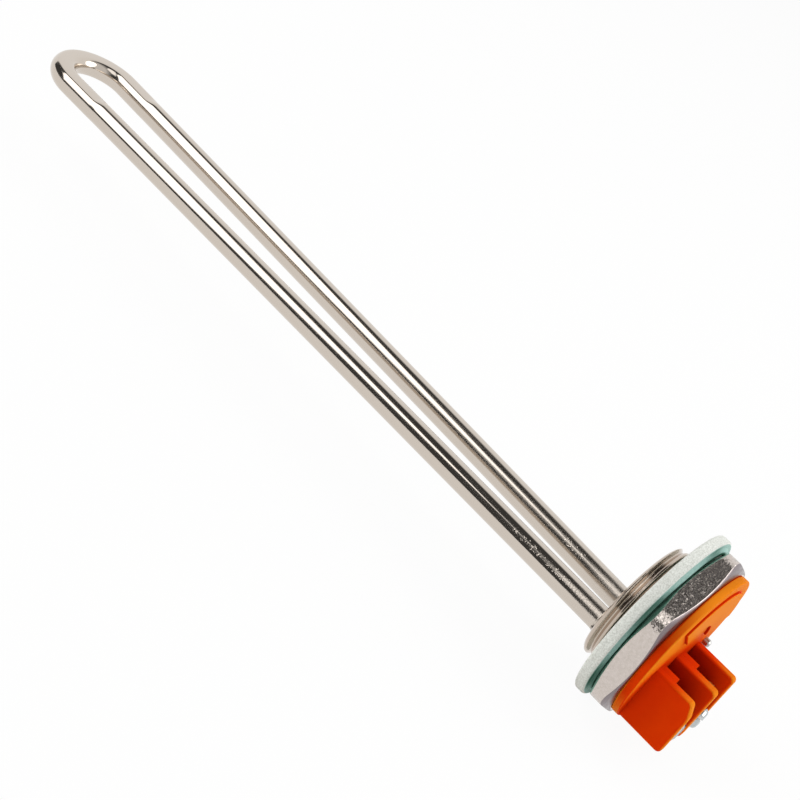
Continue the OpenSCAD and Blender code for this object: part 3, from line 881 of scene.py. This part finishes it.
# Stage: pale floor and white surroundings. Reflections also see a dark ceiling with a large softbox and a
# smaller card in it, placed by angles about the X axis, in degrees up from +Y, and by how far a direction
# leans along X.
stage = {
    "floor": -25.1, "floorSize": 6.0, "floorColour": "#f0f0ee", "cameraWhite": 0.94, "ambient": 0.26,
    "ceilingMiddle": 126.0, "ceilingDark": 52.0, "ceilingPale": 70.0, "ceilingGlow": 0.058,
    "ceilingFade": (0.1, 0.7), "fadedGlow": 0.8, "softness": 4.0,
    "boxStart": (-0.15, -0.52), "boxEnd": (-0.8, -1.15), "boxHalfWidth": 37.0, "boxGlow": 2.3,
    "cardStart": (-0.144, -0.12), "cardEnd": (0.2, 0.5), "cardHalfWidth": 21.0, "cardGlow": 1.45,
}


# 1 on rays from the camera, in reflections and through glass
def seenDirectly(tree):
    rays = addNode(tree, "ShaderNodeLightPath").outputs
    either = reckon(tree, "MAXIMUM", rays["Is Camera Ray"], rays["Is Glossy Ray"])
    return reckon(tree, "MAXIMUM", either, rays["Is Transmission Ray"])


def buildFloor():
    material = bpy.data.materials.new("paleFloor")
    material.use_nodes = True
    tree = material.node_tree
    tree.nodes.clear()
    paint = addNode(tree, "ShaderNodeBsdfDiffuse", {"Color": linear(stage["floorColour"])})
    white = addNode(tree, "ShaderNodeEmission", {"Color": (1, 1, 1, 1), "Strength": 1.0})
    share = reckon(tree, "MULTIPLY", seenDirectly(tree), stage["cameraWhite"])
    mixed = addNode(tree, "ShaderNodeMixShader", {0: share, 1: paint.outputs[0], 2: white.outputs[0]})
    addNode(tree, "ShaderNodeOutputMaterial", {"Surface": mixed.outputs[0]})
    s, z = stage["floorSize"], stage["floor"] * mm
    floor = blank("floor", [(-s, -s, z), (s, -s, z), (s, s, z), (-s, s, z)], [(0, 1, 2, 3)])
    floor.data.materials.append(material)


# Plain light for matt surfaces, white behind the object, and the ceiling, softbox and card for reflections
def buildWorld():
    world = bpy.data.worlds.new("studio")
    scene.world = world
    world.use_nodes = True
    tree = world.node_tree
    tree.nodes.clear()
    way = addNode(tree, "ShaderNodeTexCoord").outputs["Generated"]
    across = reckonVector(tree, "MULTIPLY", way, (0.0, 1.0, 1.0))
    middle = math.radians(stage["ceilingMiddle"])
    toMiddle = reckonVector(tree, "DOT_PRODUCT", reckonVector(tree, "NORMALIZE", across),
                            (0.0, math.cos(middle), math.sin(middle)))
    offMiddle = reckon(tree, "ARCCOSINE", toMiddle)
    ceiling = ramp(tree, offMiddle, math.radians(stage["ceilingDark"]), math.radians(stage["ceilingPale"]),
                   stage["ceilingGlow"], 1.0, smooth=True)
    x = addNode(tree, "ShaderNodeSeparateXYZ", {0: way}).outputs["X"]
    lean = reckon(tree, "DIVIDE", x, reckonVector(tree, "LENGTH", across))
    fade = ramp(tree, lean, *stage["ceilingFade"], 0.0, stage["fadedGlow"])
    faded = reckon(tree, "MAXIMUM", ceiling, fade)
    soft = math.radians(stage["softness"])

    # A bright patch about the middle, whose half width grows over one range of lean and shrinks over another
    def patch(grow, shrink, halfWidth, brightness):
        edges = [ramp(tree, lean, nothing, full, -soft, math.radians(halfWidth))
                 for nothing, full in (grow, shrink[::-1])]
        within = reckon(tree, "SUBTRACT", reckon(tree, "MINIMUM", *edges), offMiddle)
        return ramp(tree, within, -soft, soft, 0.0, brightness, smooth=True)

    box = patch(stage["boxStart"], stage["boxEnd"], stage["boxHalfWidth"], stage["boxGlow"])
    card = patch(stage["cardStart"], stage["cardEnd"], stage["cardHalfWidth"], stage["cardGlow"])
    glow = reckon(tree, "MAXIMUM", faded, reckon(tree, "MAXIMUM", box, card))
    mirrored = addNode(tree, "ShaderNodeLightPath").outputs["Is Glossy Ray"]
    bright = addNode(tree, "ShaderNodeMix", {"Factor": mirrored, "A": 1.0, "B": glow}, data_type="FLOAT")
    lit = addNode(tree, "ShaderNodeBackground", {"Color": (1, 1, 1, 1), "Strength": stage["ambient"]})
    seen = addNode(tree, "ShaderNodeBackground", {
        "Color": (1, 1, 1, 1), "Strength": bright.outputs["Result"]})
    mixed = addNode(tree, "ShaderNodeMixShader", {
        0: seenDirectly(tree), 1: lit.outputs[0], 2: seen.outputs[0]})
    addNode(tree, "ShaderNodeOutputWorld", {"Surface": mixed.outputs[0]})
    world.cycles.sampling_method = "NONE"  # even light, nothing to search for


lamps = {
    "roundBox": {"place": (-0.85, -0.45, 0.66), "aim": (-0.09, 0, 0), "size": (1.25, 1.05), "glow": 2.5,
                 "mirrored": False},
    "frontBox": {"place": (0.25, -0.85, 0.3), "aim": (0.01, 0, 0), "size": (0.6, 0.6), "glow": 1.0,
                 "mirrored": False},
    "backBox": {"place": (0.15, 0.55, 0.95), "aim": (-0.05, 0, 0), "size": (0.9, 0.9), "glow": 2.2,
                "mirrored": False},
    "sideBox": {"place": (0.62, 0.30, 0.42), "aim": (0.012, 0, -0.005), "size": (0.8, 0.8), "glow": 2.2,
                "mirrored": True},
}


# A softbox's power follows from how bright its cloth looks
def buildLamps():
    for name, box in lamps.items():
        light = bpy.data.lights.new(name, "AREA")
        light.shape = "ELLIPSE"
        light.size, light.size_y = box["size"]
        area = math.pi / 4 * box["size"][0] * box["size"][1]
        light.energy = box["glow"] * math.pi * area
        lamp = addObject(name, light)
        lamp.location = box["place"]
        lamp.rotation_mode = "QUATERNION"
        lamp.rotation_quaternion = (Vector(box["aim"]) - Vector(box["place"])).to_track_quat("-Z", "Y")
        lamp.visible_glossy = box["mirrored"]  # mirrors see the world's ceiling and softbox instead


# Camera, as fitted to the photograph: the frame's width sees 36 mm of sensor behind a 72 mm lens
view = {
    "place": (0.0512828, -0.3324977, 0.1792633), "right": (0.670423, 0.547026, 0.501294),
    "up": (-0.665006, 0.143339, 0.732954), "lens": 72.0, "sensor": 36.0, "clip": (0.01, 20.0),
}


def buildCamera():
    data = bpy.data.cameras.new("camera")
    data.lens, data.sensor_width = view["lens"], view["sensor"]
    data.clip_start, data.clip_end = view["clip"]
    camera = addObject("camera", data)
    right, up = Vector(view["right"]).normalized(), Vector(view["up"]).normalized()
    turn = Matrix((right, up, right.cross(up))).transposed()
    camera.matrix_world = Matrix.Translation(view["place"]) @ turn.to_4x4()
    scene.camera = camera


buildFloor()
buildWorld()
buildLamps()
buildCamera()
scene.view_settings.view_transform = "Standard"
print("stage, lamps and camera")
